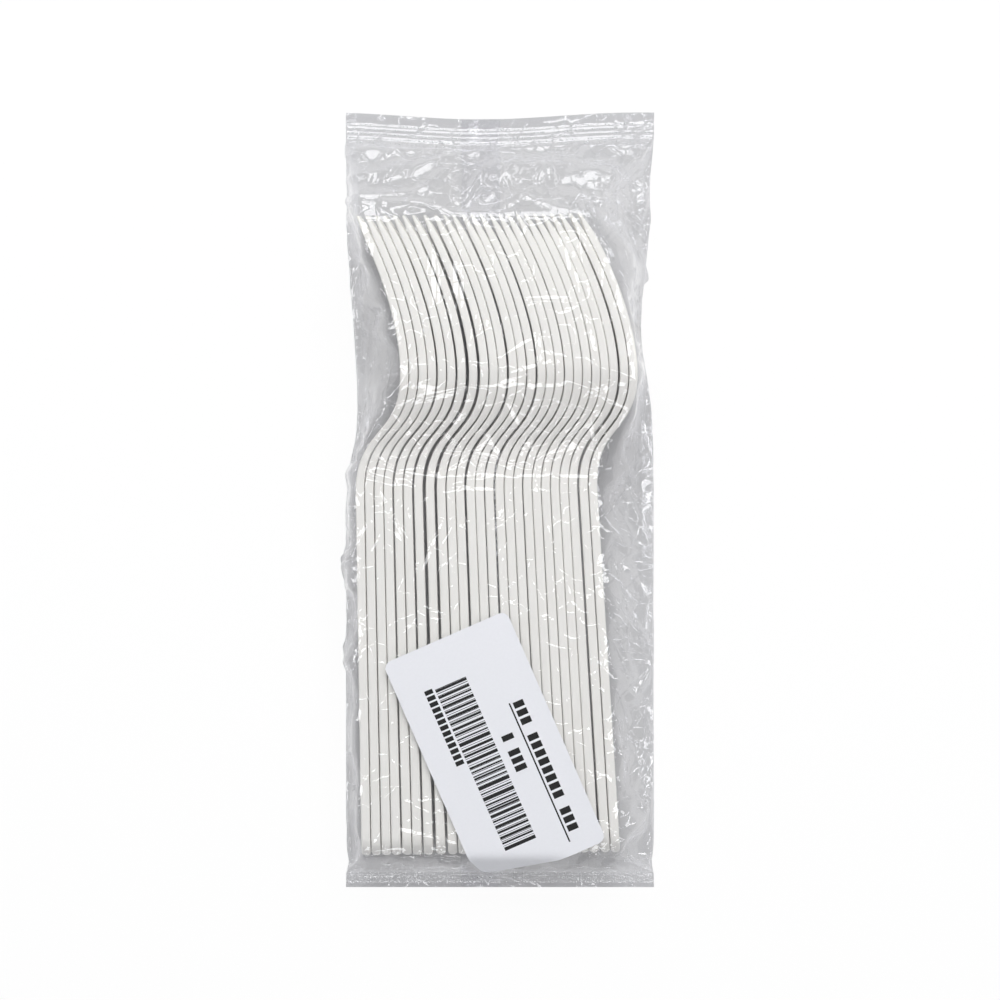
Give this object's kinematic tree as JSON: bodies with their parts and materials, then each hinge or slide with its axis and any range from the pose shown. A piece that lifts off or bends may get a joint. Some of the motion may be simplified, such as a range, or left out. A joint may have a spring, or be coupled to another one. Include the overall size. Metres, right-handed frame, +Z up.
{
  "type": "plastic cutlery pack",
  "caption": "Sealed clear film bag holding a nested stack of pale disposable forks on their side edges, with a paper price label on its front.",
  "frame": {"origin": "centre of the pack's width and length, on the ground that it rests on", "axes": "+Y along the pack, from the forks' handles to their tines; +Z up, from the back seal to the front with the label; +X to the right, along the stack, seen from above with the tines away"},
  "size_m": [0.0796, 0.2, 0.0279],
  "materials": {
    "fork_plastic": "smooth semi-matt off-white moulded bioplastic",
    "clear_film": "clear glossy wrinkled packing film",
    "label_paper": "coated white self-adhesive paper"
  },
  "bodies": {
    "root": {"film_bag": "clear_film", "label": "label_paper", "fork_01": "fork_plastic", "fork_02": "fork_plastic", "fork_03": "fork_plastic", "fork_04": "fork_plastic", "fork_05": "fork_plastic", "fork_06": "fork_plastic", "fork_07": "fork_plastic", "fork_08": "fork_plastic", "fork_09": "fork_plastic", "fork_10": "fork_plastic", "fork_11": "fork_plastic", "fork_12": "fork_plastic", "fork_13": "fork_plastic", "fork_14": "fork_plastic", "fork_15": "fork_plastic", "fork_16": "fork_plastic", "fork_17": "fork_plastic", "fork_18": "fork_plastic", "fork_19": "fork_plastic", "fork_20": "fork_plastic", "fork_21": "fork_plastic", "fork_22": "fork_plastic", "fork_23": "fork_plastic", "fork_24": "fork_plastic", "fork_25": "fork_plastic"}
  },
  "joints": []
}
